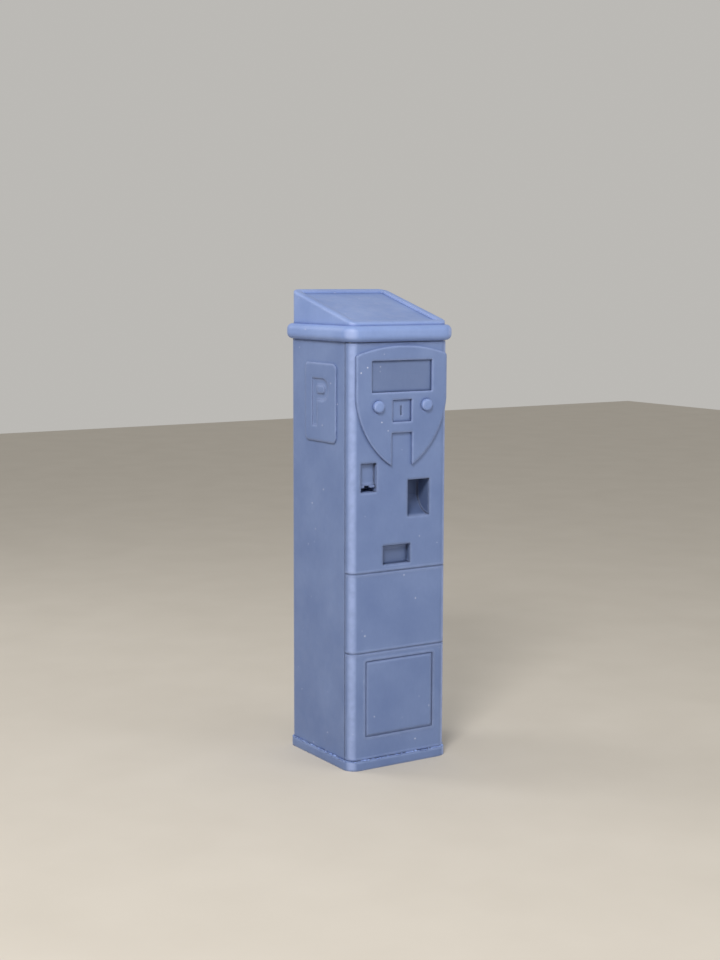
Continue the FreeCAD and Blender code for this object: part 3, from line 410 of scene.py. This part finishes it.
def newTree(name, inputs):
    tree = bpy.data.node_groups.new(name, "GeometryNodeTree")
    for title, kind, start in inputs:
        socket = tree.interface.new_socket(name=title, in_out="INPUT", socket_type=kind)
        socket.default_value = start
    tree.interface.new_socket(
        name="Geometry", in_out="OUTPUT", socket_type="NodeSocketGeometry")
    entry = tree.nodes.new("NodeGroupInput")
    leave = tree.nodes.new("NodeGroupOutput")
    return tree, entry, leave


def endTree(tree, leave, geometry, finish):
    real = tree.nodes.new("GeometryNodeRealizeInstances")
    paint = tree.nodes.new("GeometryNodeSetMaterial")
    paint.inputs["Material"].default_value = finish
    tree.links.new(geometry, real.inputs["Geometry"])
    tree.links.new(real.outputs["Geometry"], paint.inputs["Geometry"])
    tree.links.new(paint.outputs["Geometry"], leave.inputs["Geometry"])


def growPiece(name, tree, values, body, smooth):
    piece = bpy.data.objects.new(name, bpy.data.meshes.new(name))
    bpy.context.scene.collection.objects.link(piece)
    modifier = piece.modifiers.new("grow", "NODES")
    modifier.node_group = tree
    sockets = {s.name: s.identifier for s in tree.interface.items_tree if s.in_out == "INPUT"}
    for title, value in values.items():
        modifier[sockets[title]] = value
    settle(piece)
    smoothBy(piece, smooth)
    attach(piece, body)


def makeStudTree(name, finish, sides):
    # A grid of round studs, or of blocks where there are four sides
    tree, entry, leave = newTree(name, [
        ("Count X", "NodeSocketInt", 4), ("Count Y", "NodeSocketInt", 1),
        ("Pitch X", "NodeSocketFloat", 0.02), ("Pitch Y", "NodeSocketFloat", 0.02),
        ("Middle", "NodeSocketVector", (0.0, 0.0, 0.0)),
        ("Turn", "NodeSocketVector", (0.0, 0.0, 0.0)),
        ("Size", "NodeSocketVector", (0.004, 0.004, 0.002))])
    new, link = tree.nodes.new, tree.links.new

    def span(count, pitch):
        gaps = addMath(tree, "SUBTRACT", entry.outputs[count], 1.0)
        return addMath(tree, "MULTIPLY", gaps, entry.outputs[pitch])

    grid = new("GeometryNodeMeshGrid")
    link(entry.outputs["Count X"], grid.inputs["Vertices X"])
    link(entry.outputs["Count Y"], grid.inputs["Vertices Y"])
    link(span("Count X", "Pitch X"), grid.inputs["Size X"])
    link(span("Count Y", "Pitch Y"), grid.inputs["Size Y"])
    if sides == 4:
        stud = new("GeometryNodeMeshCube")
        stud.inputs["Size"].default_value = (2.0, 2.0, 1.0)
    else:
        stud = new("GeometryNodeMeshCylinder")
        stud.inputs["Vertices"].default_value = sides
        stud.inputs["Radius"].default_value = 1.0
        stud.inputs["Depth"].default_value = 1.0
    spread = new("GeometryNodeInstanceOnPoints")
    link(grid.outputs["Mesh"], spread.inputs["Points"])
    link(stud.outputs["Mesh"], spread.inputs["Instance"])
    link(entry.outputs["Size"], spread.inputs["Scale"])
    move = new("GeometryNodeTransform")
    link(spread.outputs["Instances"], move.inputs["Geometry"])
    link(entry.outputs["Middle"], move.inputs["Translation"])
    link(entry.outputs["Turn"], move.inputs["Rotation"])
    endTree(tree, leave, move.outputs["Geometry"], finish)
    return tree


studSettings = {
    "batteryCaps": {
        "on": "battery", "at": (0.5, 0.30, 1.0), "count": (6, 1), "pitch": (0.024, 0.02),
        "size": (0.0075, 0.0075, 0.005), "finish": "black_plastic", "sides": 24},
    "controlFins": {
        "on": "control_box", "at": (0.5, 0.5, 1.0), "count": (1, 9), "pitch": (0.02, 0.013),
        "size": (0.070, 0.0013, 0.012), "finish": "black_plastic", "sides": 4},
    "coinLidRivets": {
        "on": "coin_box_lid", "at": (0.5, 0.5, 1.0), "count": (2, 4), "pitch": (0.25, 0.078),
        "size": (0.0045, 0.0045, 0.003), "finish": "bare_steel", "sides": 20},
    "shelfBolts": {
        "on": "equipment_shelf", "at": (0.5, 0.5, 1.0), "count": (2, 2), "pitch": (0.372, 0.20),
        "size": (0.0055, 0.0055, 0.005), "finish": "bare_steel", "sides": 6},
}
studLift = 0.45  # share of a stud's height that its middle stands above the face
studSmooth = 40

for name, studs in studSettings.items():
    low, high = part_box(studs["on"])
    middle = [a + (b - a) * t for a, b, t in zip(low, high, studs["at"])]
    middle[2] += studs["size"][2] * studLift
    tree = makeStudTree(name + "Tree", finishes[studs["finish"]], studs["sides"])
    growPiece(name, tree, {
        "Count X": studs["count"][0], "Count Y": studs["count"][1],
        "Pitch X": studs["pitch"][0], "Pitch Y": studs["pitch"][1],
        "Middle": middle, "Size": studs["size"],
    }, bodyOf[studs["on"]], studSmooth)


crumbSettings = {
    "inset": 0.0045, "corner": 0.040, "cornerPoints": 8, "spacing": 0.0080, "detail": 2,
    "seed": 7, "small": 0.0010, "large": 0.0075, "flatness": 0.55,
    "jitter": 0.0030, "drop": 0.0020, "rise": 0.0004, "smooth": 80,
}
crumbFinish = makeCast("flashCast", lighter=2.3, edge=0.6, flecks=0.3)


def makeCrumbs():
    # Flash left along the top edge of the plinth, as uneven pale crumbs on a rounded rectangle
    crumbs = crumbSettings
    tree, entry, leave = newTree("crumbTree", [
        ("Width", "NodeSocketFloat", 0.4), ("Depth", "NodeSocketFloat", 0.4),
        ("Height", "NodeSocketFloat", 0.03), ("Corner", "NodeSocketFloat", crumbs["corner"]),
        ("Spacing", "NodeSocketFloat", crumbs["spacing"])])
    new, link = tree.nodes.new, tree.links.new

    def draw(low, high, seed):
        values = new("FunctionNodeRandomValue")
        values.data_type = "FLOAT_VECTOR"
        values.inputs["Seed"].default_value = seed
        values.inputs[0].default_value = low
        values.inputs[1].default_value = high
        return values.outputs["Value"]

    shape = new("GeometryNodeCurvePrimitiveQuadrilateral")
    link(entry.outputs["Width"], shape.inputs["Width"])
    link(entry.outputs["Depth"], shape.inputs["Height"])
    fillet = new("GeometryNodeFilletCurve")
    fillet.mode = "POLY"
    fillet.inputs["Count"].default_value = crumbs["cornerPoints"]
    link(shape.outputs["Curve"], fillet.inputs["Curve"])
    link(entry.outputs["Corner"], fillet.inputs["Radius"])
    points = new("GeometryNodeCurveToPoints")
    points.mode = "LENGTH"
    link(fillet.outputs["Curve"], points.inputs["Curve"])
    link(entry.outputs["Spacing"], points.inputs["Length"])
    bit = new("GeometryNodeMeshIcoSphere")
    bit.inputs["Radius"].default_value = 1.0
    bit.inputs["Subdivisions"].default_value = crumbs["detail"]
    small, large, jitter = crumbs["small"], crumbs["large"], crumbs["jitter"]
    sizes = draw((small,) * 3, (large, large, large * crumbs["flatness"]), crumbs["seed"])
    shift = draw((-jitter, -jitter, -crumbs["drop"]), (jitter, jitter, crumbs["rise"]),
                 crumbs["seed"] + 1)
    move = new("GeometryNodeSetPosition")
    link(points.outputs["Points"], move.inputs["Geometry"])
    link(shift, move.inputs["Offset"])
    spread = new("GeometryNodeInstanceOnPoints")
    link(move.outputs["Geometry"], spread.inputs["Points"])
    link(bit.outputs["Mesh"], spread.inputs["Instance"])
    link(sizes, spread.inputs["Scale"])
    lift = new("ShaderNodeCombineXYZ")
    link(entry.outputs["Height"], lift.inputs["Z"])
    place = new("GeometryNodeTransform")
    link(spread.outputs["Instances"], place.inputs["Geometry"])
    link(lift.outputs["Vector"], place.inputs["Translation"])
    endTree(tree, leave, place.outputs["Geometry"], crumbFinish)
    low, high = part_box("plinth")
    growPiece("plinthFlash", tree, {
        "Width": high.x - low.x - 2 * crumbs["inset"],
        "Depth": high.y - low.y - 2 * crumbs["inset"], "Height": high.z,
    }, "root", crumbs["smooth"])


makeCrumbs()


louvreSettings = {
    "count": 7, "pitch": 0.012, "size": (0.068, 0.0026, 0.0012), "behind": 0.0026, "smooth": 30,
}


def makeLouvres():
    # Narrow blades on the inside of the wall, one across each slot of the back vent
    louvre = louvreSettings
    low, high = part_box("back_vent")
    tree = makeStudTree("louvreTree", finishes["blue_grey_paint"], 4)
    middle = [(low.x + high.x) / 2, low.y - louvre["behind"], (low.z + high.z) / 2]
    growPiece("ventLouvres", tree, {
        "Count X": 1, "Count Y": louvre["count"], "Pitch Y": louvre["pitch"], "Middle": middle,
        "Turn": (math.radians(90), 0.0, 0.0), "Size": louvre["size"],
    }, "root", louvre["smooth"])


makeLouvres()
print("repeated details made")

for piece in bpy.data.objects:
    label = piece.get("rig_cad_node")
    if piece.type == "MESH" and label and label not in roundSettings:
        smoothBy(piece, softenSettings["smooth"])


# Floor, light and camera

stageSettings = {
    "reach": 12.0, "floor": (0.60, 0.56, 0.50), "shade": (0.575, 0.535, 0.475), "roughness": 0.9,
    "cloud": {"scale": 3.0, "detail": 5.0, "ends": (0.3, 0.7)},
    "world": (0.86, 0.84, 0.80), "worldPower": 0.58,
}


def makeStage():
    stage = stageSettings
    mesh = bpy.data.meshes.new("floor")
    r = stage["reach"]
    mesh.from_pydata([(-r, -r, 0), (r, -r, 0), (r, r, 0), (-r, r, 0)], [], [(0, 1, 2, 3)])
    floor = bpy.data.objects.new("floor", mesh)
    bpy.context.scene.collection.objects.link(floor)
    material, tree, shader, place = startMaterial("paleFloor")
    cloud = addCloud(tree, place, stage["cloud"])
    tree.links.new(addMix(tree, cloud, stage["shade"], stage["floor"]), shader.inputs["Base Color"])
    shader.inputs["Roughness"].default_value = stage["roughness"]
    floor.data.materials.append(material)

    world = bpy.data.worlds.new("studio")
    bpy.context.scene.world = world
    world.use_nodes = True
    backdrop = world.node_tree.nodes["Background"]
    backdrop.inputs["Color"].default_value = (*stage["world"], 1.0)
    backdrop.inputs["Strength"].default_value = stage["worldPower"]


lampTarget = (0.0, 0.0, 0.8)
lampSettings = {
    "keyLight": {"at": (-3.0, -3.1, 4.5), "size": 1.5, "power": 185.0, "colour": (1.0, 0.97, 0.93)},
    "fillLight": {"at": (2.6, -4.6, 2.6), "size": 3.5, "power": 62.0, "colour": (0.93, 0.96, 1.0)},
    "rimLight": {"at": (-2.6, 2.8, 3.4), "size": 2.0, "power": 50.0, "colour": (1.0, 1.0, 1.0)},
}


def aimFrom(at, target):
    return (Vector(target) - Vector(at)).to_track_quat("-Z", "Y").to_euler()


def makeLamps():
    for name, lamp in lampSettings.items():
        data = bpy.data.lights.new(name, "AREA")
        data.shape = "DISK"
        data.size = lamp["size"]
        data.energy = lamp["power"]
        data.color = lamp["colour"]
        light = bpy.data.objects.new(name, data)
        light.location = lamp["at"]
        light.rotation_euler = aimFrom(lamp["at"], lampTarget)
        bpy.context.scene.collection.objects.link(light)


cameraSettings = {
    "at": (-3.073, -4.796, 1.725), "towards": (-0.0345, 0.0, 0.998), "roll": 0.14,
    "lens": 59.8, "sensor": 36.0,
}


def makeCamera():
    view = cameraSettings
    data = bpy.data.cameras.new("view")
    data.lens = view["lens"]
    data.sensor_width = view["sensor"]
    camera = bpy.data.objects.new("view", data)
    camera.location = view["at"]
    camera.rotation_euler = aimFrom(view["at"], view["towards"])
    camera.rotation_euler.rotate_axis("Z", math.radians(view["roll"]))
    bpy.context.scene.collection.objects.link(camera)
    bpy.context.scene.camera = camera


makeStage()
makeLamps()
makeCamera()
bpy.context.scene.view_settings.view_transform = "Standard"
print("stage set")
